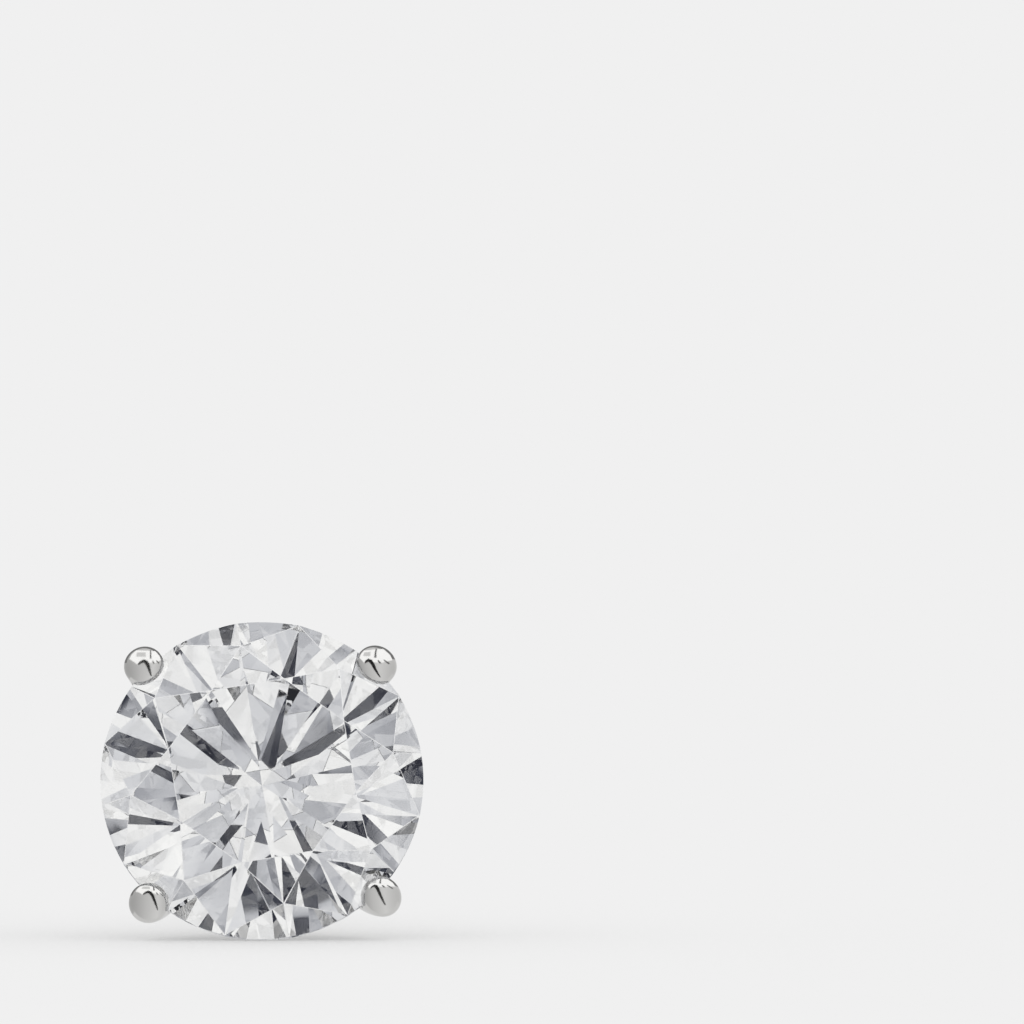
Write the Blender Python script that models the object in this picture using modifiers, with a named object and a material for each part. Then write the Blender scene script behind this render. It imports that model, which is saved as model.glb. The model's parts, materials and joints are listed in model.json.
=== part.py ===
"""A stud earring: a round brilliant-cut stone held by four claws, with an ear post behind it.

The stud is modelled about its own axis, which runs from the post to the stone along +Z, with
the middle of the stone's edge at the centre. It is then laid down as it comes to rest on a
table: on the lowest point of the stone's edge and the end of the post. Units are metres,
+Z is up, the stone faces -Y, and the origin is under the middle of the stud, on the table.
"""

import math

import bmesh
import bpy
from mathutils import Matrix, Vector
from mathutils.geometry import interpolate_bezier

MM = 0.001

# The stone, a round brilliant of about one carat
STONE_DIAMETER = 6.50 * MM
TABLE_WIDTH = 3.84 * MM  # the flat top, from corner to corner
GIRDLE_THICKNESS = 0.20 * MM  # the upright band round the stone's edge, where it is thickest
CROWN_ANGLE = math.radians(34.5)  # slope of the kites above the edge
PAVILION_ANGLE = math.radians(40.8)  # slope of the mains below the edge
STAR_SHARE = 0.60  # of the way from the table out to the edge
LOWER_HALF_SHARE = 0.85  # of the way from the edge in to the stone's point
STONE_TURN = math.radians(31.9)  # bearing of one kite, seen from the front
MAINS = 8

# The setting: round-wire claws, a gallery rail, a base plate and a post, soldered into one
CLAWS = 4
FIRST_CLAW = math.radians(46)  # bearing of one claw, seen from the front
CLAW_WIRE = 0.79 * MM
CLAW_BITE = 0.38 * MM  # how far the stone's edge goes into each claw
CLAW_LEAN = math.radians(14)  # how far a claw leans out where it holds the stone
CLAW_TIP_RISE = 0.25 * MM  # along the claw, from the middle of the stone's edge to the tip's base
CLAW_TIP_FLATNESS = 0.6  # height of the rounded tip, as a share of the wire's radius
CLAW_FOOT_RISE = 0.55 * MM  # how strongly a claw starts straight up from the base
CLAW_SHOULDER = 1.70 * MM  # how strongly it keeps its lean below the stone
SEAT_CLEARANCE = 0.04 * MM  # between the stone and the notches cut for it
FOOT_SETBACK = 0.10 * MM  # from the base plate's rim to the outside of a claw's foot
RAIL_WIRE = 0.60 * MM
RAIL_DEPTH = 2.05 * MM  # from the middle of the stone's edge back to the rail
CULET_CLEARANCE = 0.35 * MM  # between the stone's point and the base plate
BASE_DIAMETER = 2.70 * MM
BASE_THICKNESS = 0.50 * MM
BASE_ROUNDING = 0.08 * MM
POST_WIRE = 0.90 * MM
POST_LENGTH = 10.0 * MM  # from the back of the base plate
POST_ROUNDING = 0.30 * MM

# How finely the forms are faceted
STONE_SEGMENTS = 96
CLAW_SIDES = 20
LEG_STEPS = 14
DOME_STEPS = 5
DOME_FLAT = 0.3  # the small flat that ends the dome, as a share of one step
RAIL_SEGMENTS = 48
RAIL_SIDES = 12
TURNED_STEPS = 40
ROUNDING_STEPS = 4
MEETING = 0.00002 * MM  # a facet that passes this near a corner goes through it
WELD = 0.0001 * MM

# Sizes that follow from the ones above
STONE_RADIUS = STONE_DIAMETER / 2
TABLE_RADIUS = TABLE_WIDTH / 2
GIRDLE_HALF = GIRDLE_THICKNESS / 2
TABLE_HEIGHT = GIRDLE_HALF + (STONE_RADIUS - TABLE_RADIUS) * math.tan(CROWN_ANGLE)
CULET_HEIGHT = -GIRDLE_HALF - STONE_RADIUS * math.tan(PAVILION_ANGLE)
CLAW_RADIUS = CLAW_WIRE / 2
CLAW_REACH = STONE_RADIUS - CLAW_BITE + CLAW_RADIUS
BASE_RADIUS = BASE_DIAMETER / 2
BASE_FRONT = CULET_HEIGHT - CULET_CLEARANCE
BASE_BACK = BASE_FRONT - BASE_THICKNESS
FOOT_REACH = BASE_RADIUS - FOOT_SETBACK - CLAW_RADIUS
POST_RADIUS = POST_WIRE / 2
POST_END = BASE_BACK - POST_LENGTH


def clear_scene():
    for obj in list(bpy.data.objects):
        bpy.data.objects.remove(obj, do_unlink=True)


def new_collection(name):
    collection = bpy.data.collections.new(name)
    bpy.context.scene.collection.children.link(collection)
    return collection


def new_object(name, mesh, collection):
    obj = bpy.data.objects.new(name, mesh)
    collection.objects.link(obj)
    return obj


def polished(name, colour, metallic, roughness, transmission=0.0, ior=1.5):
    """A Principled material for a polished metal or a clear stone."""
    material = bpy.data.materials.new(name)
    material.use_nodes = True
    shader = material.node_tree.nodes["Principled BSDF"]
    shader.inputs["Base Color"].default_value = (*colour, 1.0)
    shader.inputs["Metallic"].default_value = metallic
    shader.inputs["Roughness"].default_value = roughness
    shader.inputs["Transmission Weight"].default_value = transmission
    shader.inputs["IOR"].default_value = ior
    material.diffuse_color = (*colour, 1.0)
    return material


def round_point(reach, bearing, height):
    """The point at a reach from the stud's axis, a bearing about it and a height along it."""
    return Vector((reach * math.cos(bearing), reach * math.sin(bearing), height))


def cut_facet(bm, corners):
    """Grinds away what lies outside the flat through three corners, and closes the cut."""
    a, b, c = corners
    normal = (b - a).cross(c - a).normalized()
    if normal.dot(a) < 0:
        normal.negate()
    bmesh.ops.bisect_plane(
        bm,
        geom=bm.verts[:] + bm.edges[:] + bm.faces[:],
        dist=MEETING,
        plane_co=a,
        plane_no=normal,
        clear_outer=True,
    )
    bmesh.ops.holes_fill(bm, edges=[edge for edge in bm.edges if edge.is_boundary], sides=0)


def cut_brilliant(bm):
    """Cuts the facets tier by tier; each tier's corners are points that the next one meets."""
    half_step = math.pi / MAINS
    star_reach = TABLE_RADIUS * math.cos(half_step)
    star_reach += STAR_SHARE * (STONE_RADIUS - star_reach)
    star_inset = STONE_RADIUS - star_reach * math.cos(half_step)
    star_height = GIRDLE_HALF + star_inset * math.tan(CROWN_ANGLE)
    lower_reach = STONE_RADIUS * (1 - LOWER_HALF_SHARE)
    lower_inset = STONE_RADIUS - lower_reach * math.cos(half_step)
    lower_height = -GIRDLE_HALF - lower_inset * math.tan(PAVILION_ANGLE)

    cut_facet(bm, [round_point(TABLE_RADIUS, turn * math.pi / 2, TABLE_HEIGHT) for turn in range(3)])
    for main in range(MAINS):
        kite = STONE_TURN + main * 2 * half_step
        table_corner = round_point(TABLE_RADIUS, kite, TABLE_HEIGHT)
        next_corner = round_point(TABLE_RADIUS, kite + 2 * half_step, TABLE_HEIGHT)
        crown_edge = round_point(STONE_RADIUS, kite, GIRDLE_HALF)
        pavilion_edge = round_point(STONE_RADIUS, kite, -GIRDLE_HALF)
        culet = Vector((0, 0, CULET_HEIGHT))
        across = Vector((-math.sin(kite), math.cos(kite), 0)) * STONE_RADIUS
        cut_facet(bm, [table_corner, crown_edge, crown_edge + across])
        cut_facet(bm, [culet, pavilion_edge, pavilion_edge + across])
        star_tip = round_point(star_reach, kite + half_step, star_height)
        cut_facet(bm, [table_corner, next_corner, star_tip])
        for side in (-1, 1):
            between = kite + side * half_step
            cut_facet(
                bm,
                [
                    round_point(star_reach, between, star_height),
                    round_point(STONE_RADIUS, between, GIRDLE_HALF),
                    crown_edge,
                ],
            )
            cut_facet(
                bm,
                [
                    round_point(lower_reach, between, lower_height),
                    round_point(STONE_RADIUS, between, -GIRDLE_HALF),
                    pavilion_edge,
                ],
            )


def make_stone(collection, material):
    """A round rod of rough, ground to a brilliant: table, kites, stars, halves and mains."""
    rough_length = TABLE_HEIGHT - CULET_HEIGHT + STONE_DIAMETER
    bm = bmesh.new()
    bmesh.ops.create_cone(
        bm,
        cap_ends=True,
        segments=STONE_SEGMENTS,
        radius1=STONE_RADIUS,
        radius2=STONE_RADIUS,
        depth=rough_length,
        matrix=Matrix.Rotation(STONE_TURN - math.pi / 2, 4, "Z"),
    )
    cut_brilliant(bm)
    bmesh.ops.remove_doubles(bm, verts=bm.verts[:], dist=MEETING)
    bmesh.ops.recalc_face_normals(bm, faces=bm.faces[:])
    mesh = bpy.data.meshes.new("stone")
    bm.to_mesh(mesh)
    bm.free()
    mesh.materials.append(material)
    return new_object("stone", mesh, collection)


def claw_line():
    """A claw's middle line in its own plane, as (reach, height): foot, shoulder, tip."""
    foot = Vector((FOOT_REACH, BASE_BACK + BASE_THICKNESS / 2, 0))
    edge = Vector((CLAW_REACH, 0, 0))
    up = Vector((0, 1, 0))
    leaning = Vector((math.sin(CLAW_LEAN), math.cos(CLAW_LEAN), 0))
    shoulder = edge - leaning * CLAW_SHOULDER
    leg = interpolate_bezier(foot, foot + up * CLAW_FOOT_RISE, shoulder, edge, LEG_STEPS)
    return leg + [edge + leaning * CLAW_TIP_RISE]


def reach_at(height):
    """How far out a claw's middle line is at a height, between two of its points."""
    line = claw_line()
    for low, high in zip(line, line[1:]):
        if low.y <= height <= high.y:
            return low.x + (high.x - low.x) * (height - low.y) / (high.y - low.y)
    return line[0].x


def claw_mesh():
    """One claw as round wire along its line, ending in a low rounded tip."""
    line = claw_line()
    tip_height = (line[-1] - line[-2]).normalized() * CLAW_RADIUS * CLAW_TIP_FLATNESS
    points = [(point, 1.0) for point in line]
    for step in range(1, DOME_STEPS + 1):
        angle = step / (DOME_STEPS + DOME_FLAT) * math.pi / 2
        points.append((line[-1] + tip_height * math.sin(angle), math.cos(angle)))

    curve = bpy.data.curves.new("claw", "CURVE")
    curve.dimensions = "3D"
    curve.bevel_depth = CLAW_RADIUS
    curve.bevel_resolution = CLAW_SIDES // 2 - 2
    curve.use_fill_caps = True
    wire = curve.splines.new("POLY")
    wire.points.add(len(points) - 1)
    for spot, (point, share) in zip(wire.points, points):
        spot.co = (point.x, 0, point.y, 1)
        spot.radius = share

    guide = bpy.data.objects.new("claw", curve)
    bpy.context.scene.collection.objects.link(guide)
    depsgraph = bpy.context.evaluated_depsgraph_get()
    mesh = bpy.data.meshes.new_from_object(guide.evaluated_get(depsgraph))
    bpy.data.objects.remove(guide, do_unlink=True)
    bm = bmesh.new()
    bm.from_mesh(mesh)
    bmesh.ops.remove_doubles(bm, verts=bm.verts[:], dist=WELD)
    bmesh.ops.recalc_face_normals(bm, faces=bm.faces[:])
    bm.to_mesh(mesh)
    bm.free()
    return mesh


def quarter_round(reach, height, radius, first_angle):
    """Points of a rounded corner about its centre, running clockwise a quarter turn."""
    angles = [first_angle - step * math.pi / 2 / ROUNDING_STEPS for step in range(ROUNDING_STEPS + 1)]
    return [(reach + radius * math.cos(angle), height + radius * math.sin(angle)) for angle in angles]


def turned(name, profile, collection):
    """A profile of (reach, height), from top to bottom, turned about the stud's axis."""
    mesh = bpy.data.meshes.new(name)
    rows = [(reach, 0, height) for reach, height in profile]
    mesh.from_pydata(rows, [(row, row + 1) for row in range(len(rows) - 1)], [])
    obj = new_object(name, mesh, collection)
    screw = obj.modifiers.new("turn", "SCREW")
    screw.axis = "Z"
    screw.steps = TURNED_STEPS
    screw.render_steps = TURNED_STEPS
    screw.use_merge_vertices = True
    screw.merge_threshold = WELD
    return obj


def base_profile():
    """The base plate and the post behind it, down to the post's rounded end."""
    rim = BASE_RADIUS - BASE_ROUNDING
    tip = POST_RADIUS - POST_ROUNDING
    profile = [(0, BASE_FRONT)]
    profile += quarter_round(rim, BASE_FRONT - BASE_ROUNDING, BASE_ROUNDING, math.pi / 2)
    profile += quarter_round(rim, BASE_BACK + BASE_ROUNDING, BASE_ROUNDING, 0)
    profile += [(POST_RADIUS, BASE_BACK)]
    profile += quarter_round(tip, POST_END + POST_ROUNDING, POST_ROUNDING, 0)
    profile += [(0, POST_END)]
    return profile


def seat_profile():
    """The space that the stone takes in the claws: its cones and edge, grown by the clearance."""
    crown_slope = math.tan(CROWN_ANGLE)
    pavilion_slope = math.tan(PAVILION_ANGLE)
    reach = STONE_RADIUS + SEAT_CLEARANCE
    front = GIRDLE_HALF + SEAT_CLEARANCE * (math.hypot(1, crown_slope) - crown_slope)
    back = -GIRDLE_HALF - SEAT_CLEARANCE * (math.hypot(1, pavilion_slope) - pavilion_slope)
    return [
        (0, front + reach * crown_slope),
        (reach, front),
        (reach, back),
        (0, back - reach * pavilion_slope),
    ]


def boolean(obj, tool, operation):
    """Joins a piece to the object, or cuts a space out of it, and hides the tool."""
    step = obj.modifiers.new(tool.name, "BOOLEAN")
    step.object = tool
    step.operation = operation
    step.solver = "EXACT"
    tool.hide_render = True
    tool.display_type = "WIRE"


def make_setting(collection, tools, material):
    """Base plate and post, with the claws and the rail joined on and the stone's seat cut."""
    setting = turned("setting", base_profile(), collection)
    setting.data.materials.append(material)
    claw = claw_mesh()
    for number in range(CLAWS):
        wire = new_object(f"claw_{number + 1}", claw, tools)
        wire.rotation_euler.z = FIRST_CLAW + number * 2 * math.pi / CLAWS
        boolean(setting, wire, "UNION")

    bpy.ops.mesh.primitive_torus_add(
        major_radius=reach_at(-RAIL_DEPTH),
        minor_radius=RAIL_WIRE / 2,
        major_segments=RAIL_SEGMENTS,
        minor_segments=RAIL_SIDES,
        location=(0, 0, -RAIL_DEPTH),
    )
    rail = bpy.context.object
    rail.name = "rail"
    for holder in list(rail.users_collection):
        holder.objects.unlink(rail)
    tools.objects.link(rail)
    boolean(setting, rail, "UNION")
    boolean(setting, turned("seat", seat_profile(), tools), "DIFFERENCE")
    return setting


def lying_angle():
    """How far the axis tips up at the stone when its edge and the post's end both touch."""
    along = POST_ROUNDING + GIRDLE_HALF + POST_END
    across = STONE_RADIUS - (POST_RADIUS - POST_ROUNDING)
    return math.atan2(across, -along) - math.asin(POST_ROUNDING / math.hypot(across, along))


def lay_down(axis, pieces):
    """Tips the stud over and stands its box on the table, with the origin under its middle."""
    axis.rotation_euler.x = math.pi / 2 - lying_angle()
    bpy.context.view_layer.update()
    depsgraph = bpy.context.evaluated_depsgraph_get()
    corners = []
    for piece in pieces:
        shape = piece.evaluated_get(depsgraph)
        corners += [shape.matrix_world @ vertex.co for vertex in shape.to_mesh().vertices]
        shape.to_mesh_clear()
    low = [min(corner[side] for corner in corners) for side in range(3)]
    high = [max(corner[side] for corner in corners) for side in range(3)]
    axis.location = (-(low[0] + high[0]) / 2, -(low[1] + high[1]) / 2, -low[2])


def main():
    clear_scene()
    stud = new_collection("stud_earring")
    tools = new_collection("joined_and_cut")
    clear_stone = polished("clear_stone", (1.0, 1.0, 1.0), 0.0, 0.0, transmission=1.0, ior=2.42)
    white_metal = polished("white_metal", (0.80, 0.80, 0.79), 1.0, 0.12)
    stone = make_stone(stud, clear_stone)
    setting = make_setting(stud, tools, white_metal)
    axis = bpy.data.objects.new("stud_axis", None)
    bpy.context.scene.collection.objects.link(axis)
    for piece in (stone, setting, *tools.objects):
        piece.parent = axis
    for polygon in setting.data.polygons:
        polygon.use_smooth = True
    lay_down(axis, (stone, setting))


main()
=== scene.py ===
# %% [markdown]
# # A stud earring
# A stud earring is a small stone held by claws, with a straight post behind it that passes
# through the ear. This one lies on a white table, seen from the front, as it comes to rest: on the
# lowest point of the stone's edge and on the end of its post.
#
# There are two things to get right. The stone is clear, so nearly all that we see in it is
# light that has bounced about inside: it needs true flat facets, the real bending of light, and a
# studio round it that is worth mirroring. The metal is polished, so it too shows the studio, and it
# needs smooth round forms. We start by loading the stud's plan, which fixes every size and place.

# %% Load the frame
import json
import math

import bmesh
import bpy
from mathutils import Matrix, Vector
from mathutils.geometry import interpolate_bezier


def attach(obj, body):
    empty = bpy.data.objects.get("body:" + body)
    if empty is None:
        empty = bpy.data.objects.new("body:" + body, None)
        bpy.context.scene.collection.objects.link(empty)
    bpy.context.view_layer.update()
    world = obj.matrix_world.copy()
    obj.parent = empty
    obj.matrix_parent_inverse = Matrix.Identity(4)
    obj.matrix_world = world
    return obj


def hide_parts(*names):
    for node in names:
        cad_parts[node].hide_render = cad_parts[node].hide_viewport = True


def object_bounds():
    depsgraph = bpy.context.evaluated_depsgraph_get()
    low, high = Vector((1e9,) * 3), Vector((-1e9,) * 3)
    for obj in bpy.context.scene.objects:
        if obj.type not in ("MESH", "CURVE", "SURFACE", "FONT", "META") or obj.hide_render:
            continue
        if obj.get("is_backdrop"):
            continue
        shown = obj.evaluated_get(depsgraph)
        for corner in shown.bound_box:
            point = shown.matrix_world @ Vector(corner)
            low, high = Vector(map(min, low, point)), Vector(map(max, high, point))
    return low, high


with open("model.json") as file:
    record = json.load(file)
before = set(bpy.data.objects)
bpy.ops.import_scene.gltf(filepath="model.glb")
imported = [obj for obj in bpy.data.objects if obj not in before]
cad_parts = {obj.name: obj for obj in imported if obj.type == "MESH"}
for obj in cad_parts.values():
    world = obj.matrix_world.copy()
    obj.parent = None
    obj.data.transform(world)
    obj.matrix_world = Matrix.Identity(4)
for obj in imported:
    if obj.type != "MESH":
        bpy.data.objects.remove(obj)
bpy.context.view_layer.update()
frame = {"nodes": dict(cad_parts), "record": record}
MM = 0.001
print("nodes:", sorted(frame["nodes"]))

# %% [markdown]
# ## The stud's own frame
# A jeweller thinks of a stud about its axis, not about the table that it lies on. The stated back
# face of the setting gives the way the axis points, and the stone's point gives a place on it.
# In this frame +Z is the way the stone faces, +Y is up as the front view shows it, and the centre is
# in the middle of the stone's edge. Every piece is modelled here and then tipped over in one move.

# %% Measure the axis and the stone
facing = -Vector(frame["record"]["mounts"][0]["axis"]).normalized()
right = Vector((1, 0, 0))
upward = facing.cross(right)
stone_points = [vertex.co.copy() for vertex in frame["nodes"]["stone"].data.vertices]
culet = min(stone_points, key=lambda point: point.dot(facing))


def reach(point):
    """How far a point is from the stud's axis."""
    across = point - culet
    return (across - facing * across.dot(facing)).length


STONE_RADIUS = max(reach(point) for point in stone_points)
edge_heights = [
    (point - culet).dot(facing) for point in stone_points if reach(point) > 0.999 * STONE_RADIUS
]
GIRDLE_HALF = (max(edge_heights) - min(edge_heights)) / 2
centre = culet + facing * (max(edge_heights) + min(edge_heights)) / 2
STUD = Matrix.Translation(centre) @ Matrix((right, upward, facing)).transposed().to_4x4()
CULET_HEIGHT = -(centre - culet).length
print("stone across, mm:", round(2 * STONE_RADIUS / MM, 3))
print("tipped up, degrees:", round(math.degrees(math.asin(facing.z)), 1))

# %% [markdown]
# The setting's own sizes can't be read off so easily, so they are written here as a maker would
# note them: wire, reach and height, each measured from the middle of the stone's edge. Where the claws
# hold the stone they lean outward, and each ends in a low bead, flatter than a ball.

# %% Sizes of the setting
CLAW_RADIUS = 0.395 * MM
CLAW_REACH = STONE_RADIUS - 0.38 * MM + CLAW_RADIUS
FIRST_CLAW = 46
CLAW_LEAN = math.radians(14)
BEAD_RISE = 0.25 * MM
BEAD_FLATNESS = 0.6
FOOT_RISE = 0.55 * MM
SHOULDER = 1.70 * MM
RAIL_RADIUS = 0.30 * MM
RAIL_DEPTH = 2.05 * MM
PLATE_RADIUS = 1.35 * MM
PLATE_THICKNESS = 0.50 * MM
PLATE_ROUNDING = 0.08 * MM
PLATE_FRONT = CULET_HEIGHT - 0.35 * MM
PLATE_BACK = PLATE_FRONT - PLATE_THICKNESS
FOOT_REACH = PLATE_RADIUS - 0.10 * MM - CLAW_RADIUS
POST_RADIUS = 0.45 * MM
POST_ROUNDING = 0.30 * MM
POST_LENGTH = 10.0 * MM
POST_END = PLATE_BACK - POST_LENGTH
print("claws reach out, mm:", round(CLAW_REACH / MM, 3))
print("post ends behind the stone's edge, mm:", round(-POST_END / MM, 2))

# %% [markdown]
# ## One way to make every piece
# A piece is drawn about the stud's own axis, where a claw or a post is easy to describe. This helper
# then tips its points over to where the stud lies, and has the piece ride with the stud. The points
# are moved, and not the object as a whole, so that the piece's box is measured true.

# %% Piece maker
def new_piece(name, bm, *materials):
    """Tips a bmesh drawn in the stud's frame over to where it lies, to ride with the stud."""
    bmesh.ops.transform(bm, matrix=STUD, verts=bm.verts[:])
    mesh = bpy.data.meshes.new(name)
    bm.to_mesh(mesh)
    bm.free()
    for material in materials:
        mesh.materials.append(material)
    piece = bpy.data.objects.new(name, mesh)
    bpy.context.scene.collection.objects.link(piece)
    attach(piece, "root")
    return piece


# %% [markdown]
# ## The stone's material
# Diamond bends light far more than glass, with an index of 2.42, and it has no colour of its own.
# A Principled shader with full transmission does the bending. No cut face is perfectly flat, so a
# very faint, wide bump lets the tone drift a little across each facet, as it does in a real stone.

# %% Clear stone
DIAMOND_INDEX = 2.417
DRIFT_DEPTH = 0.004 * MM
DRIFTS_A_METRE = 450


def clear_stone():
    material = bpy.data.materials.new("clear_stone")
    material.use_nodes = True
    nodes, links = material.node_tree.nodes, material.node_tree.links
    shader = nodes["Principled BSDF"]
    shader.inputs["Base Color"].default_value = (1, 1, 1, 1)
    shader.inputs["Roughness"].default_value = 0.0
    shader.inputs["IOR"].default_value = DIAMOND_INDEX
    shader.inputs["Transmission Weight"].default_value = 1.0
    place = nodes.new("ShaderNodeTexCoord")
    drift = nodes.new("ShaderNodeTexNoise")
    drift.inputs["Scale"].default_value = DRIFTS_A_METRE
    drift.inputs["Detail"].default_value = 0
    bump = nodes.new("ShaderNodeBump")
    bump.inputs["Strength"].default_value = 1.0
    bump.inputs["Distance"].default_value = DRIFT_DEPTH
    links.new(place.outputs["Object"], drift.inputs["Vector"])
    links.new(drift.outputs["Fac"], bump.inputs["Height"])
    links.new(bump.outputs["Normal"], shader.inputs["Normal"])
    return material


CLEAR_STONE = clear_stone()
print("material of the stone:", CLEAR_STONE.name)

# %% [markdown]
# The sharp ridges between the facets are never quite polished. They scatter a little light, and show
# as fine pale lines, so they get a finish of their own: less clear, and a little rough.

# %% Ridges of the stone
RIDGE_ROUGHNESS = 0.3
RIDGE_CLEARNESS = 0.3


def stone_ridge():
    material = bpy.data.materials.new("stone_ridge")
    material.use_nodes = True
    shader = material.node_tree.nodes["Principled BSDF"]
    shader.inputs["Base Color"].default_value = (1, 1, 1, 1)
    shader.inputs["Roughness"].default_value = RIDGE_ROUGHNESS
    shader.inputs["IOR"].default_value = DIAMOND_INDEX
    shader.inputs["Transmission Weight"].default_value = RIDGE_CLEARNESS
    return material


STONE_RIDGE = stone_ridge()
print("material of its ridges:", STONE_RIDGE.name)

# %% [markdown]
# ## The stone
# The plan already holds every facet: a table, eight kites, eight stars, sixteen upper halves, a thin
# edge band, sixteen lower halves and eight mains. We copy it, join the triangles of each facet into
# one flat, and take the sharpness off the crown's edges by less than a hundredth of a millimetre.
# Those tiny bevels are what shows as fine bright lines between the facets. The back's edges stay
# sharp, because there the light must turn inside the stone without a blur.

# %% Cut stone
FACET_TURN = math.radians(4)
SAME_FLAT = math.radians(0.2)
SAME_POINT = 0.0005 * MM
SHORT_EDGE = 0.1 * MM
CROWN_FACES_FRONT = 0.3
EDGE_SOFTENING = 0.007 * MM


def is_crown_edge(edge):
    """An edge between two facets of the crown, and not one of the edge band or the pavilion."""
    return (
        len(edge.link_faces) == 2
        and edge.calc_face_angle() > FACET_TURN
        and all(face.normal.z > CROWN_FACES_FRONT for face in edge.link_faces)
        and edge.calc_length() > SHORT_EDGE
    )


def cut_stone():
    bm = bmesh.new()
    bm.from_mesh(frame["nodes"]["stone"].data)
    bmesh.ops.transform(bm, matrix=STUD.inverted(), verts=bm.verts[:])
    bmesh.ops.remove_doubles(bm, verts=bm.verts[:], dist=SAME_POINT)
    bmesh.ops.dissolve_limit(bm, angle_limit=SAME_FLAT, verts=bm.verts[:], edges=bm.edges[:])
    print("facets and flats of the edge band:", len(bm.faces))
    bm.normal_update()
    edges = [edge for edge in bm.edges if is_crown_edge(edge)]
    bmesh.ops.bevel(
        bm,
        geom=edges,
        offset=EDGE_SOFTENING,
        segments=2,
        profile=0.5,
        affect="EDGES",
        clamp_overlap=True,
        material=1,
    )
    for face in bm.faces:
        face.smooth = False
    print("edges softened:", len(edges), "faces now:", len(bm.faces))
    return new_piece("cut_stone", bm, CLEAR_STONE, STONE_RIDGE)


stone = cut_stone()
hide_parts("stone")

# %% [markdown]
# ## The metal's material
# White gold is plated with rhodium and polished: a slightly warm, pale grey mirror. A mirror with
# nothing on it looks false, so the roughness wanders a little, and very fine hair scratches from the
# polishing wheel break the reflections up close.

# %% White metal
METAL_TONES = ((0.79, 0.785, 0.77, 1), (0.83, 0.825, 0.81, 1))
METAL_ROUGHNESS = (0.08, 0.14)
CLOUDS_A_METRE = 900
CLOUD_SPREAD = (0.3, 0.7)
HAIRS_A_METRE = 22000
HAIR_LENGTHENING = 0.08
HAIR_STRENGTH = 0.12
HAIR_DEPTH = 0.002 * MM


def white_metal():
    material = bpy.data.materials.new("white_metal")
    material.use_nodes = True
    nodes, links = material.node_tree.nodes, material.node_tree.links
    shader = nodes["Principled BSDF"]
    shader.inputs["Metallic"].default_value = 1.0
    place = nodes.new("ShaderNodeTexCoord")

    cloud = nodes.new("ShaderNodeTexNoise")
    cloud.inputs["Scale"].default_value = CLOUDS_A_METRE
    cloud.inputs["Detail"].default_value = 3
    links.new(place.outputs["Object"], cloud.inputs["Vector"])

    tint = nodes.new("ShaderNodeValToRGB")
    for stop, position, tone in zip(tint.color_ramp.elements, CLOUD_SPREAD, METAL_TONES):
        stop.position = position
        stop.color = tone
    links.new(cloud.outputs["Fac"], tint.inputs["Fac"])
    links.new(tint.outputs["Color"], shader.inputs["Base Color"])

    gloss = nodes.new("ShaderNodeMapRange")
    gloss.inputs["From Min"].default_value = CLOUD_SPREAD[0]
    gloss.inputs["From Max"].default_value = CLOUD_SPREAD[1]
    gloss.inputs["To Min"].default_value = METAL_ROUGHNESS[0]
    gloss.inputs["To Max"].default_value = METAL_ROUGHNESS[1]
    links.new(cloud.outputs["Fac"], gloss.inputs["Value"])
    links.new(gloss.outputs["Result"], shader.inputs["Roughness"])

    stretch = nodes.new("ShaderNodeMapping")
    stretch.inputs["Rotation"].default_value = STUD.to_euler()
    stretch.inputs["Scale"].default_value = (1, 1, HAIR_LENGTHENING)
    hairs = nodes.new("ShaderNodeTexNoise")
    hairs.inputs["Scale"].default_value = HAIRS_A_METRE
    hairs.inputs["Detail"].default_value = 2
    bump = nodes.new("ShaderNodeBump")
    bump.inputs["Strength"].default_value = HAIR_STRENGTH
    bump.inputs["Distance"].default_value = HAIR_DEPTH
    links.new(place.outputs["Object"], stretch.inputs["Vector"])
    links.new(stretch.outputs["Vector"], hairs.inputs["Vector"])
    links.new(hairs.outputs["Fac"], bump.inputs["Height"])
    links.new(bump.outputs["Normal"], shader.inputs["Normal"])
    return material


METAL = white_metal()
print("material of the setting:", METAL.name)

# %% [markdown]
# ## A piece of the setting
# Wire and plate are smooth to the touch, but a plate's rim and a notch are crisp. So the faces are
# shaded smooth, and only the edges that turn by more than a set angle are kept sharp.

# %% Metal piece
CREASE = 40
POST_CREASE = 50
NOTCH_CREASE = 35


def metal_piece(name, bm, crease=CREASE):
    """A smooth-shaded piece of the setting, with creases kept where it turns sharply."""
    bmesh.ops.recalc_face_normals(bm, faces=bm.faces[:])
    for face in bm.faces:
        face.smooth = True
    piece = new_piece(name, bm, METAL)
    piece.data.set_sharp_from_angle(angle=math.radians(crease))
    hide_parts("setting")
    print(name, "faces:", len(piece.data.polygons))
    return piece


# %% [markdown]
# ## Turned pieces
# The base plate, the post and the space that the stone takes in the claws are all turned on a
# lathe, so one helper spins a half outline about the axis. Rounded corners are quarter circles, and
# the solder round the post's root is a hollow quarter circle.

# %% Lathe
LATHE_STEPS = 128
CORNER_STEPS = 8
SEAM = 0.0002 * MM


def quarter(reach_at_centre, height, radius, first_degrees, turn=-90):
    """Points of a quarter circle about its centre in the (reach, height) plane."""
    points = []
    for step in range(CORNER_STEPS + 1):
        angle = math.radians(first_degrees + turn * step / CORNER_STEPS)
        points.append((reach_at_centre + radius * math.cos(angle), height + radius * math.sin(angle)))
    return points


def turned(profile):
    bm = bmesh.new()
    points = [bm.verts.new((across, 0, height)) for across, height in profile]
    edges = [bm.edges.new(pair) for pair in zip(points, points[1:])]
    bmesh.ops.spin(
        bm,
        geom=points + edges,
        axis=(0, 0, 1),
        cent=(0, 0, 0),
        angle=2 * math.pi,
        steps=LATHE_STEPS,
        use_duplicate=False,
    )
    bmesh.ops.remove_doubles(bm, verts=bm.verts[:], dist=SEAM)
    return bm


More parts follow.
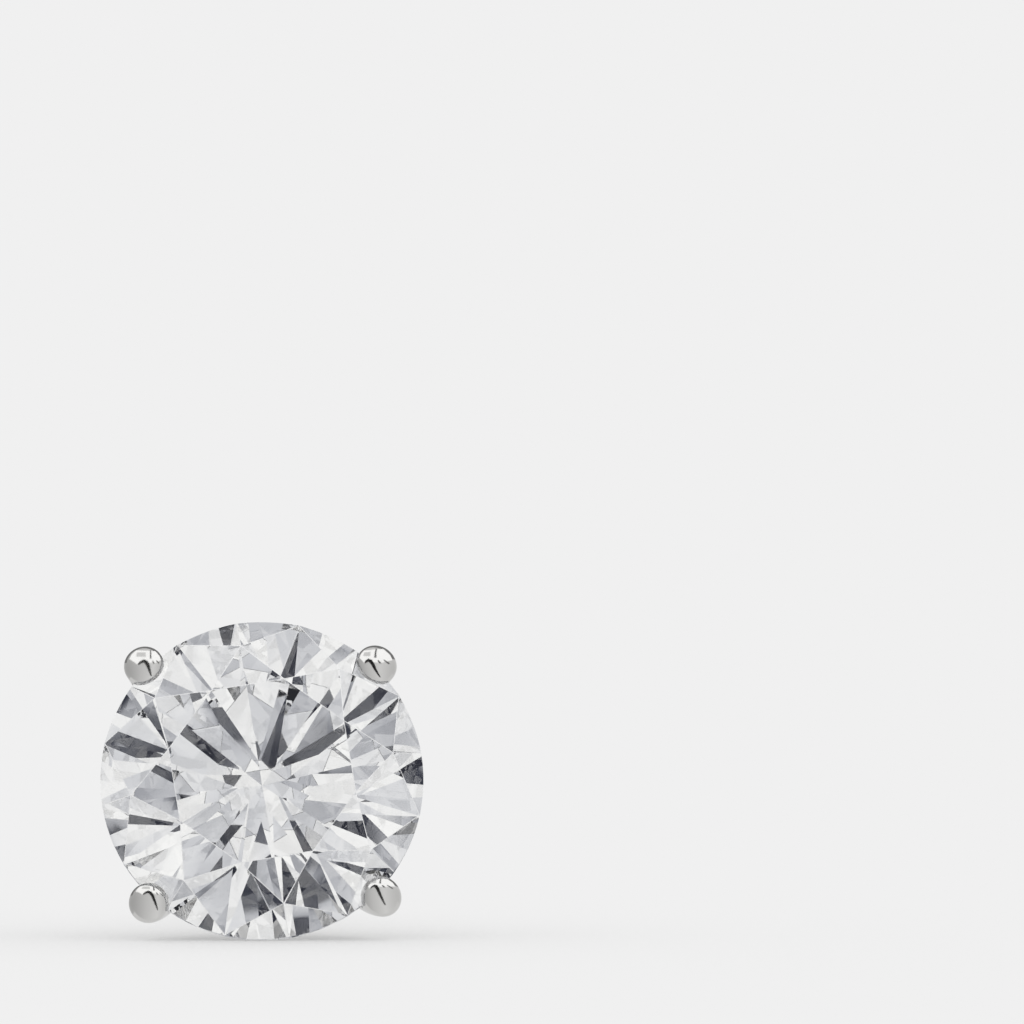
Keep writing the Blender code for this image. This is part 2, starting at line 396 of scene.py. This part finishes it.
print("steps round a turned piece:", LATHE_STEPS)

# %% [markdown]
# ## The base plate
# A small round disc of thick sheet, which carries the claws on its front and the post on its flat back,
# where the ear rests. Its rims are broken by a fine rounding, so that they catch the light and do not
# scratch.

# %% Base plate
def base_plate():
    rim = PLATE_RADIUS - PLATE_ROUNDING
    profile = [(0, PLATE_FRONT)]
    profile += quarter(rim, PLATE_FRONT - PLATE_ROUNDING, PLATE_ROUNDING, 90)
    profile += quarter(rim, PLATE_BACK + PLATE_ROUNDING, PLATE_ROUNDING, 0)
    profile += [(0, PLATE_BACK)]
    return metal_piece("base_plate", turned(profile))


base_plate()

# %% [markdown]
# ## The post
# A straight wire, hard-soldered to the middle of the plate and rounded at its free end so that it
# goes through the ear without catching. The solder leaves a small hollow collar at its root.

# %% Ear post
SOLDER = 0.16 * MM


def ear_post():
    profile = [
        (0, PLATE_BACK + PLATE_THICKNESS / 2),
        (POST_RADIUS + SOLDER, PLATE_BACK + PLATE_ROUNDING / 4),
    ]
    profile += quarter(POST_RADIUS + SOLDER, PLATE_BACK - SOLDER, SOLDER, 90, turn=90)
    profile += quarter(POST_RADIUS - POST_ROUNDING, POST_END + POST_ROUNDING, POST_ROUNDING, 0)
    profile += [(0, POST_END)]
    return metal_piece("ear_post", turned(profile), crease=POST_CREASE)


ear_post()

# %% [markdown]
# ## The claws
# Each claw is round wire. It starts upright on the plate and swings out to the stone's edge, which it
# holds in a notch while leaning a little outward. It ends in a low bead, rounded with a cupped tool
# over the stone and flatter than a ball. The line is a Bezier curve in the claw's own plane, and rings
# of points along it make the wire.
#
# No two beads of a hand-set stone are alike. The table below gives each its own bearing, its lean
# and its width and depth, as shares of the wire.

# %% Claw line
CLAW_SIDES = 64
LEG_STEPS = 40
NECK_STEPS = 6
DOME_STEPS = 20
FOOT_FLARE = 0.22


def claw_line():
    """A claw's middle line from its foot to the centre of its bead, in its own upright plane."""
    foot = Vector((FOOT_REACH, 0, PLATE_BACK + PLATE_THICKNESS / 2))
    edge = Vector((CLAW_REACH, 0, 0))
    up = Vector((0, 0, 1))
    outward = Vector((math.sin(CLAW_LEAN), 0, math.cos(CLAW_LEAN)))
    leg = interpolate_bezier(foot, foot + up * FOOT_RISE, edge - outward * SHOULDER, edge, LEG_STEPS)
    neck = [edge + outward * BEAD_RISE * step / NECK_STEPS for step in range(1, NECK_STEPS + 1)]
    return leg + neck


def wire_reach(height):
    """How far out the claws' middle line is at a height."""
    line = claw_line()
    for low, high in zip(line, line[1:]):
        if low.z <= height <= high.z:
            return low.x + (high.x - low.x) * (height - low.z) / (high.z - low.z)
    return line[0].x


print("spots on a claw's line:", len(claw_line()))

# %% [markdown]
# The rings stand square to the line. They flare a little at the foot, where the solder has run round the
# wire, and shrink over the bead as the rings of a dome do.

# %% Rings along one claw
def claw_rings():
    """(centre, direction, radius as a share of the wire) from the foot to the end of the bead."""
    line = claw_line()
    rings = []
    for index, point in enumerate(line):
        before, after = line[max(index - 1, 0)], line[min(index + 1, len(line) - 1)]
        above_plate = max(point.z - PLATE_FRONT, 0)
        flare = FOOT_FLARE * math.exp(-above_plate / SOLDER)
        rings.append((point, (after - before).normalized(), 1 + flare))
    bead, direction, share = rings[-1]
    for step in range(1, DOME_STEPS):
        angle = math.pi / 2 * step / DOME_STEPS
        rise = CLAW_RADIUS * BEAD_FLATNESS * math.sin(angle)
        rings.append((bead + direction * rise, direction, math.cos(angle)))
    end = bead + direction * CLAW_RADIUS * BEAD_FLATNESS
    return rings, end


print("rings on a claw:", len(claw_rings()[0]))

# %% [markdown]
# To skin the rings, each gets as many points, and neighbours are joined by four-sided faces. A smooth
# step brings in the claw's own lean and the bead's own form only above the rail, so that the claws
# still meet the rail and the plate evenly.

# %% Wire of one claw
SWELL_START = -0.10 * MM


def eased(height, low, high):
    """0 below a height, 1 above another, and a smooth step between them."""
    share = min(max((height - low) / (high - low), 0), 1)
    return share * share * (3 - 2 * share)


def claw_wire(wide, deep, lean_out, lean_aside):
    """A claw as a closed mesh; above the rail it leans its own way, and its bead has its own form."""
    rings, end = claw_rings()
    aside = Vector((0, 1, 0))
    lean = Vector((lean_out, lean_aside, 0))
    bm = bmesh.new()
    rows = []
    for ring_centre, direction, share in rings:
        swell = eased(ring_centre.z, SWELL_START, BEAD_RISE)
        moved = ring_centre + lean * eased(ring_centre.z, -RAIL_DEPTH, BEAD_RISE)
        inward = direction.cross(aside).normalized()
        row = []
        for side in range(CLAW_SIDES):
            angle = 2 * math.pi * side / CLAW_SIDES
            out = inward * math.cos(angle) * (1 + (deep - 1) * swell)
            along = aside * math.sin(angle) * (1 + (wide - 1) * swell)
            row.append(bm.verts.new(moved + (out + along) * CLAW_RADIUS * share))
        rows.append(row)
    for low, high in zip(rows, rows[1:]):
        for side in range(CLAW_SIDES):
            following = (side + 1) % CLAW_SIDES
            bm.faces.new((low[side], low[following], high[following], high[side]))
    tip = bm.verts.new(end + lean)
    for side in range(CLAW_SIDES):
        bm.faces.new((rows[-1][side], rows[-1][(side + 1) % CLAW_SIDES], tip))
    bm.faces.new(rows[0])
    return bm


# %% [markdown]
# ## The stone's seat
# The stone sits in notches cut into the claws with a small burr. The cutter is the stone's own space,
# a little grown, turned as one smooth form, and a Boolean takes it out of each claw.

# %% The stone's seat
SEAT_GAP = 0.04 * MM
CROWN_ANGLE = 34.5
CROWN_SLOPE = math.tan(math.radians(CROWN_ANGLE))
PAVILION_SLOPE = (-CULET_HEIGHT - GIRDLE_HALF) / STONE_RADIUS


def seat_cutter():
    reach_out = STONE_RADIUS + SEAT_GAP
    front = GIRDLE_HALF + SEAT_GAP * (math.hypot(1, CROWN_SLOPE) - CROWN_SLOPE)
    back = -GIRDLE_HALF - SEAT_GAP * (math.hypot(1, PAVILION_SLOPE) - PAVILION_SLOPE)
    profile = [
        (0, front + reach_out * CROWN_SLOPE),
        (reach_out, front),
        (reach_out, back),
        (0, back - reach_out * PAVILION_SLOPE),
    ]
    bm = turned(profile)
    bmesh.ops.recalc_face_normals(bm, faces=bm.faces[:])
    return new_piece("seat_cutter", bm)


def cut_seat(piece, cutter):
    """Takes the stone's space out of a piece and keeps the result as its mesh."""
    notch = piece.modifiers.new("notch", "BOOLEAN")
    notch.operation = "DIFFERENCE"
    notch.solver = "EXACT"
    notch.object = cutter
    with bpy.context.temp_override(object=piece, active_object=piece):
        bpy.ops.object.modifier_apply(modifier=notch.name)
    piece.data.set_sharp_from_angle(angle=math.radians(NOTCH_CREASE))


print("room round the stone, mm:", round(SEAT_GAP / MM, 3))

# %% [markdown]
# The four claws stand a quarter turn apart. The leans in the table are small, less than a fifth of a
# millimetre: a setter bends each claw to the stone by eye.

# %% Four claws
CLAWS = [
    # name, width and depth of the bead, then how far it leans out and aside, in millimetres
    ("claw_top_right", 1.07, 1.03, -0.055, -0.046),
    ("claw_top_left", 1.03, 1.03, -0.008, 0.006),
    ("claw_bottom_left", 1.01, 1.02, 0.072, 0.143),
    ("claw_bottom_right", 0.99, 1.06, 0.076, -0.079),
]

cutter = seat_cutter()
for number, (name, wide, deep, lean_out, lean_aside) in enumerate(CLAWS):
    wire = claw_wire(wide, deep, lean_out * MM, lean_aside * MM)
    bearing = Matrix.Rotation(math.radians(FIRST_CLAW + number * 360 / len(CLAWS)), 3, "Z")
    bmesh.ops.rotate(wire, verts=wire.verts[:], cent=(0, 0, 0), matrix=bearing)
    claw = metal_piece(name, wire)
    cut_seat(claw, cutter)
bpy.data.objects.remove(cutter, do_unlink=True)

# %% [markdown]
# ## The gallery rail
# A ring of finer wire ties the four claws together half way down. It is soldered to the middle of
# each, so its own middle line has the claws' reach at that height.

# %% Rail
def gallery_rail():
    bpy.ops.mesh.primitive_torus_add(
        major_radius=wire_reach(-RAIL_DEPTH),
        minor_radius=RAIL_RADIUS,
        major_segments=160,
        minor_segments=32,
    )
    ring = bpy.context.object
    bm = bmesh.new()
    bm.from_mesh(ring.data)
    bpy.data.objects.remove(ring, do_unlink=True)
    bmesh.ops.translate(bm, vec=(0, 0, -RAIL_DEPTH), verts=bm.verts[:])
    return metal_piece("gallery_rail", bm)


gallery_rail()

# %% [markdown]
# ## The table
# A sheet of white paper. Near the stud it is real paper, which takes the soft shadow under the
# stone; further off it fades into the same even white as the background, so that no horizon shows.
# Even near the stud it glows faintly by itself, as if lit through from below, which keeps the shadow
# light. Neither the metal nor the stone sees it: their light is set apart, further down.

# %% White table
scene = bpy.context.scene
BACKDROP = 0.871
SKYLIGHT = 0.98
GLINT = (0.13, 0.135, 0.16, 1)
FADE_FROM = 9 * MM
FADE_TO = 45 * MM
PAPER_GLOW = 0.4
PAPER_TONES = ((0.87, 0.87, 0.87, 1), (0.91, 0.91, 0.91, 1))
PAPER_ROUGHNESS = 0.9
GRAINS_A_METRE = 6000
TABLE_WIDTH = 3


def paper():
    material = bpy.data.materials.new("white_paper")
    material.use_nodes = True
    nodes, links = material.node_tree.nodes, material.node_tree.links
    sheet = nodes["Principled BSDF"]
    sheet.inputs["Roughness"].default_value = PAPER_ROUGHNESS
    sheet.inputs["Specular IOR Level"].default_value = 0.0
    place = nodes.new("ShaderNodeNewGeometry")
    grain = nodes.new("ShaderNodeTexNoise")
    grain.inputs["Scale"].default_value = GRAINS_A_METRE
    tint = nodes.new("ShaderNodeValToRGB")
    for stop, tone in zip(tint.color_ramp.elements, PAPER_TONES):
        stop.color = tone
    links.new(place.outputs["Position"], grain.inputs["Vector"])
    links.new(grain.outputs["Fac"], tint.inputs["Fac"])
    links.new(tint.outputs["Color"], sheet.inputs["Base Color"])

    away = nodes.new("ShaderNodeVectorMath")
    away.operation = "LENGTH"
    fade = nodes.new("ShaderNodeMapRange")
    fade.interpolation_type = "SMOOTHSTEP"
    fade.inputs["From Min"].default_value = FADE_FROM
    fade.inputs["From Max"].default_value = FADE_TO
    fade.inputs["To Min"].default_value = PAPER_GLOW
    glow = nodes.new("ShaderNodeEmission")
    glow.inputs["Color"].default_value = (BACKDROP, BACKDROP, BACKDROP, 1)
    blend = nodes.new("ShaderNodeMixShader")
    links.new(place.outputs["Position"], away.inputs[0])
    links.new(away.outputs["Value"], fade.inputs["Value"])
    links.new(fade.outputs["Result"], blend.inputs[0])
    links.new(sheet.outputs[0], blend.inputs[1])
    links.new(glow.outputs[0], blend.inputs[2])
    links.new(blend.outputs[0], nodes["Material Output"].inputs["Surface"])
    return material


bpy.ops.mesh.primitive_plane_add(size=TABLE_WIDTH)
table = bpy.context.object
table.name = "table"
table.data.materials.append(paper())
table.visible_transmission = False
table.visible_glossy = False
table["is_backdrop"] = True
print("table's own glow near the stud:", PAPER_GLOW)

# %% [markdown]
# ## Light for the metal
# Polished metal shows whatever stands round it, so its light is a matter of placing cards. A bead is
# a mirror that shows nearly the whole room, and the place of a card on the bead tells where the card
# must stand: the direction is the line of sight, mirrored in the bead's surface there. So each card's
# outline is drawn on the face of the top left bead, in shares of its radius, and sent out to the
# studio. The bead is low and leans outward, so it is first stretched to a ball, where the sum is easy.
# The other beads lean their own ways and show the same cards a little shifted.

# %% Mirror of a bead
LOOK_UP = math.radians(11.0)
toward = (facing * math.cos(LOOK_UP) - upward * math.sin(LOOK_UP)).normalized()
sight_up = toward.cross(right).normalized()


BEAD_BEARING = math.radians(FIRST_CLAW + 90)
bead_side = right * math.cos(BEAD_BEARING) + upward * math.sin(BEAD_BEARING)
bead_axis = facing * math.cos(CLAW_LEAN) + bead_side * math.sin(CLAW_LEAN)


def rounded(vector):
    """Stretches a direction along the bead's axis, which makes a round ball of the flat bead."""
    return vector + bead_axis * vector.dot(bead_axis) * (1 / BEAD_FLATNESS - 1)


def mirrored(x, y):
    """The direction that the top left bead shows at x to the right of and y above its middle."""
    start, sight = rounded(right * x + sight_up * y), rounded(toward)
    halfway = start.dot(sight)
    depth = math.sqrt(max(halfway**2 - sight.dot(sight) * (start.dot(start) - 1), 0)) - halfway
    out = rounded(start + sight * depth / sight.dot(sight)).normalized()
    return (2 * out.dot(toward) * out - toward).normalized()


print("bead's axis leans, degrees:", round(math.degrees(bead_axis.angle(facing)), 1))

# %% [markdown]
# A card is a thin sheet that glows evenly and that only the metal sees. The stone has a mirror too, the
# plain shine on the outside of its facets, and a white window across its face would hide what happens
# inside. Its shine is perfectly sharp while the metal's is a little soft, so a test for sharp rays makes
# the cards clear to the stone. A photographer does the same by turning the stone away from the window.

# %% Cards drawn on a bead
CARD_STEPS = 10


def glowing(name, strength):
    surface = bpy.data.materials.new(name)
    surface.use_nodes = True
    nodes = surface.node_tree.nodes
    nodes.remove(nodes["Principled BSDF"])
    light = nodes.new("ShaderNodeEmission")
    light.inputs["Color"].default_value = (1, 1, 1, 1)
    light.inputs["Strength"].default_value = strength
    clear = nodes.new("ShaderNodeBsdfTransparent")
    ray = nodes.new("ShaderNodeLightPath")
    either = nodes.new("ShaderNodeMixShader")
    links = surface.node_tree.links
    links.new(ray.outputs["Is Singular Ray"], either.inputs[0])
    links.new(light.outputs[0], either.inputs[1])
    links.new(clear.outputs[0], either.inputs[2])
    links.new(either.outputs[0], nodes["Material Output"].inputs["Surface"])
    return surface


def card(name, away, glow, left_side, right_side):
    """A panel between two lines of as many points each, which run the same way on a bead's face."""
    bm = bmesh.new()
    rows = []
    for (left_low, left_high), (right_low, right_high) in zip(
        zip(left_side, left_side[1:]), zip(right_side, right_side[1:])
    ):
        for step in range(CARD_STEPS + 1):
            share = step / CARD_STEPS
            start = Vector(left_low).lerp(Vector(left_high), share)
            end = Vector(right_low).lerp(Vector(right_high), share)
            spots = [start.lerp(end, across / CARD_STEPS) for across in range(CARD_STEPS + 1)]
            rows.append([bm.verts.new(centre + mirrored(*spot) * away) for spot in spots])
    for low, high in zip(rows, rows[1:]):
        for a, b, c, d in zip(low, low[1:], high[1:], high):
            bm.faces.new((a, b, c, d))
    mesh = bpy.data.meshes.new(name)
    bm.to_mesh(mesh)
    bm.free()
    mesh.materials.append(glowing(name, glow))
    panel = bpy.data.objects.new(name, mesh)
    scene.collection.objects.link(panel)
    panel.visible_camera = False
    panel.visible_diffuse = False
    panel.visible_transmission = False
    panel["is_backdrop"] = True
    return panel


def arc(share, first_degrees, last_degrees, steps=12):
    """Spots along an arc about the middle of a bead's face, at a share of its radius."""
    spots = []
    for step in range(steps + 1):
        angle = math.radians(first_degrees + (last_degrees - first_degrees) * step / steps)
        spots.append((share * math.cos(angle), share * math.sin(angle)))
    return spots


print("strips along a card's side:", CARD_STEPS)

# %% [markdown]
# Now the cards themselves. A bright window gives every bead its white top, with a blind, a bar and two
# latches in it. The ceiling darkens the upper rim, and the far side of the table pales the lower one. A
# bent black flag, drawn as the stroke of a pen, makes the dark hook in the middle.

# %% Studio cards
CARDS = [
    # name, metres away, brightness, then its left and its right side from bottom to top
    ("ceiling", 0.42, 0.20, arc(0.87, 170, 22), arc(0.99, 170, 22)),
    ("far_table", 0.42, 0.66, arc(0.84, 220, 340), arc(0.97, 220, 340)),
    (
        "window", 0.40, 1.12,
        [(-0.34, 0.08), (-0.52, 0.22), (-0.72, 0.34), (-0.62, 0.55), (-0.40, 0.76)],
        [(0.06, 0.24), (0.50, 0.14), (0.84, 0.30), (0.76, 0.50), (0.54, 0.74)],
    ),
    ("window_blind", 0.38, 0.70, [(-0.40, 0.46), (-0.36, 0.66)], [(0.07, 0.44), (0.07, 0.66)]),
    ("window_bar", 0.36, 0.05, [(0.27, 0.36), (0.27, 0.78)], [(0.35, 0.36), (0.32, 0.78)]),
    ("latch", 0.36, 0.08, [(0.38, 0.24), (0.44, 0.12)], [(0.43, 0.26), (0.53, 0.13)]),
    ("second_latch", 0.36, 0.08, [(0.58, 0.26), (0.72, 0.12)], [(0.60, 0.29), (0.77, 0.16)]),
]

HOOK = [
    # a spot on the hook's middle line, then half its width there
    (-0.29, 0.08, 0.040),
    (-0.18, 0.18, 0.060),
    (-0.03, 0.25, 0.080),
    (0.09, 0.19, 0.100),
    (0.19, 0.03, 0.085),
    (0.27, -0.22, 0.060),
    (0.37, -0.52, 0.025),
]


def stroke(line):
    """The two sides of a line that has its own width at each spot."""
    sides = [], []
    for index, (x, y, half_width) in enumerate(line):
        before, after = line[max(index - 1, 0)], line[min(index + 1, len(line) - 1)]
        along = Vector((after[0] - before[0], after[1] - before[1])).normalized()
        for side, sign in zip(sides, (1, -1)):
            side.append((x - along.y * half_width * sign, y + along.x * half_width * sign))
    return sides


card("hook", 0.34, 0.01, *stroke(HOOK))
for row in CARDS:
    card(*row)
print("cards in the studio:", len(CARDS) + 1)

# %% [markdown]
# ## Light for the stone
# A brilliant-cut stone sends almost all the light that enters its front back out of its front, each
# facet from a direction of its own. Under an even white sky it would look like milk. So the light
# that reaches the stone comes through a tent of many pale and dark panels, which only rays that have
# passed through the stone can see. The metal sees a plain wall instead, dim on the left and bright on
# the right, and the stone's outer shine sees one dark cool tone.

# %% Tones of the studio
TENT_TONES = [
    # share of the noise, red, green, blue
    (0.38, 0.008, 0.009, 0.018),
    (0.415, 0.028, 0.032, 0.048),
    (0.435, 0.44, 0.45, 0.48),
    (0.50, 0.77, 0.78, 0.80),
    (0.56, 0.99, 0.99, 0.98),
    (0.65, 1.09, 1.09, 1.07),
]
WALL_TONES = [
    # share of the way from left to right, brightness
    (0.0, 0.42),
    (0.3, 0.58),
    (0.7, 0.72),
    (1.0, 0.58),
]
TENT_PANELS = 7.0
TENT_TURN = (0.0, 90.0, 90.0)
print("tones in the tent and on the wall:", len(TENT_TONES), len(WALL_TONES))


# %% Even light and wall
def even_light(nodes, strength):
    light = nodes.new("ShaderNodeBackground")
    light.inputs["Color"].default_value = (1, 1, 1, 1)
    light.inputs["Strength"].default_value = strength
    return light


def wall_light(nodes, links, place):
    """The studio's wall as the metal shows it: dim on the left, bright on the right."""
    across = nodes.new("ShaderNodeSeparateXYZ")
    share = nodes.new("ShaderNodeMapRange")
    share.inputs["From Min"].default_value = -1
    share.inputs["From Max"].default_value = 1
    shade = nodes.new("ShaderNodeValToRGB")
    for _ in WALL_TONES[2:]:
        shade.color_ramp.elements.new(1.0)
    for stop, (position, tone) in zip(shade.color_ramp.elements, WALL_TONES):
        stop.position = position
        stop.color = (tone, tone, tone, 1)
    wall = nodes.new("ShaderNodeBackground")
    links.new(place.outputs["Generated"], across.inputs[0])
    links.new(across.outputs["X"], share.inputs["Value"])
    links.new(share.outputs["Result"], shade.inputs["Fac"])
    links.new(shade.outputs["Color"], wall.inputs["Color"])
    return wall


# %% [markdown]
# The world's light is chosen by the kind of ray that asks for it: one answer each for the camera, for
# what has passed through the stone and for the metal's mirror, and an even sky for all that is dull.

# %% World
def studio_world():
    world = bpy.data.worlds.new("studio")
    world.use_nodes = True
    world.cycles.sampling_method = "NONE"
    nodes, links = world.node_tree.nodes, world.node_tree.links
    nodes.remove(nodes["Background"])

    place = nodes.new("ShaderNodeTexCoord")
    turn = nodes.new("ShaderNodeMapping")
    turn.inputs["Rotation"].default_value = [math.radians(angle) for angle in TENT_TURN]
    panels = nodes.new("ShaderNodeTexNoise")
    panels.inputs["Scale"].default_value = TENT_PANELS
    panels.inputs["Detail"].default_value = 2
    tones = nodes.new("ShaderNodeValToRGB")
    for _ in TENT_TONES[2:]:
        tones.color_ramp.elements.new(1.0)
    for stop, (position, *tone) in zip(tones.color_ramp.elements, TENT_TONES):
        stop.position = position
        stop.color = (*tone, 1)
    tent = nodes.new("ShaderNodeBackground")
    links.new(place.outputs["Generated"], turn.inputs["Vector"])
    links.new(turn.outputs["Vector"], panels.inputs["Vector"])
    links.new(panels.outputs["Fac"], tones.inputs["Fac"])
    links.new(tones.outputs["Color"], tent.inputs["Color"])

    ray = nodes.new("ShaderNodeLightPath")
    mirror = nodes.new("ShaderNodeMixShader")
    links.new(ray.outputs["Is Singular Ray"], mirror.inputs[0])
    glint = even_light(nodes, 1.0)
    glint.inputs["Color"].default_value = GLINT
    links.new(wall_light(nodes, links, place).outputs[0], mirror.inputs[1])
    links.new(glint.outputs[0], mirror.inputs[2])
    light = even_light(nodes, SKYLIGHT)
    for kind, seen in (
        ("Is Glossy Ray", mirror),
        ("Is Transmission Ray", tent),
        ("Is Camera Ray", even_light(nodes, BACKDROP)),
    ):
        either = nodes.new("ShaderNodeMixShader")
        links.new(ray.outputs[kind], either.inputs[0])
        links.new(light.outputs[0], either.inputs[1])
        links.new(seen.outputs[0], either.inputs[2])
        light = either
    links.new(light.outputs[0], nodes["World Output"].inputs["Surface"])
    return world


scene.world = studio_world()
print("world:", scene.world.name)

# %% [markdown]
# ## The camera
# It looks at the stud from the front and a little below its axis, from a hand's width away with a
# long lens. The stone's place and width in the picture set where it stands and how it is turned.

# %% Camera
PHOTO = 1024
STONE_AT = (262.5, 780.0)
STONE_ACROSS = 322.6
LENS = 180.0
SENSOR = 36.0

camera = bpy.data.objects.new("camera", bpy.data.cameras.new("camera"))
scene.collection.objects.link(camera)
camera.data.lens = LENS
camera.data.sensor_width = SENSOR
camera.data.clip_start = 0.001
camera.data.clip_end = 5
focal_px = LENS / SENSOR * PHOTO
left_px, down_px = PHOTO / 2 - STONE_AT[0], STONE_AT[1] - PHOTO / 2
pixel = 2 * STONE_RADIUS / STONE_ACROSS
distance = pixel * math.hypot(focal_px, left_px, down_px)
camera.location = centre + toward * distance
look = (-toward).to_track_quat("-Z", "Y").to_matrix().to_4x4()
swing = Matrix.Rotation(-math.atan2(left_px, focal_px), 4, "Y")
tilt = Matrix.Rotation(math.atan2(down_px, focal_px), 4, "X")
camera.rotation_euler = (look @ swing @ tilt).to_euler()
scene.camera = camera

# %% [markdown]
# Light bounces many times inside a brilliant before it comes out, so many bounces are allowed. The plain
# colour view keeps the even white of the table as it is set.

# %% Bounces and colour
scene.view_settings.view_transform = "Standard"
scene.cycles.max_bounces = 32
scene.cycles.transmission_bounces = 24
scene.cycles.glossy_bounces = 16
scene.cycles.denoising_input_passes = "RGB"
print("camera above the table, mm:", round(camera.location.z / MM, 2))

# %% [markdown]
# ## The size
# The dressed stud must be as large as its plan. Its size along each axis is printed.

# %% Finish
visual_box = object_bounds()
for side, low, high in zip("xyz", *visual_box):
    print("size along", side, "in mm:", round((high - low) / MM, 3))
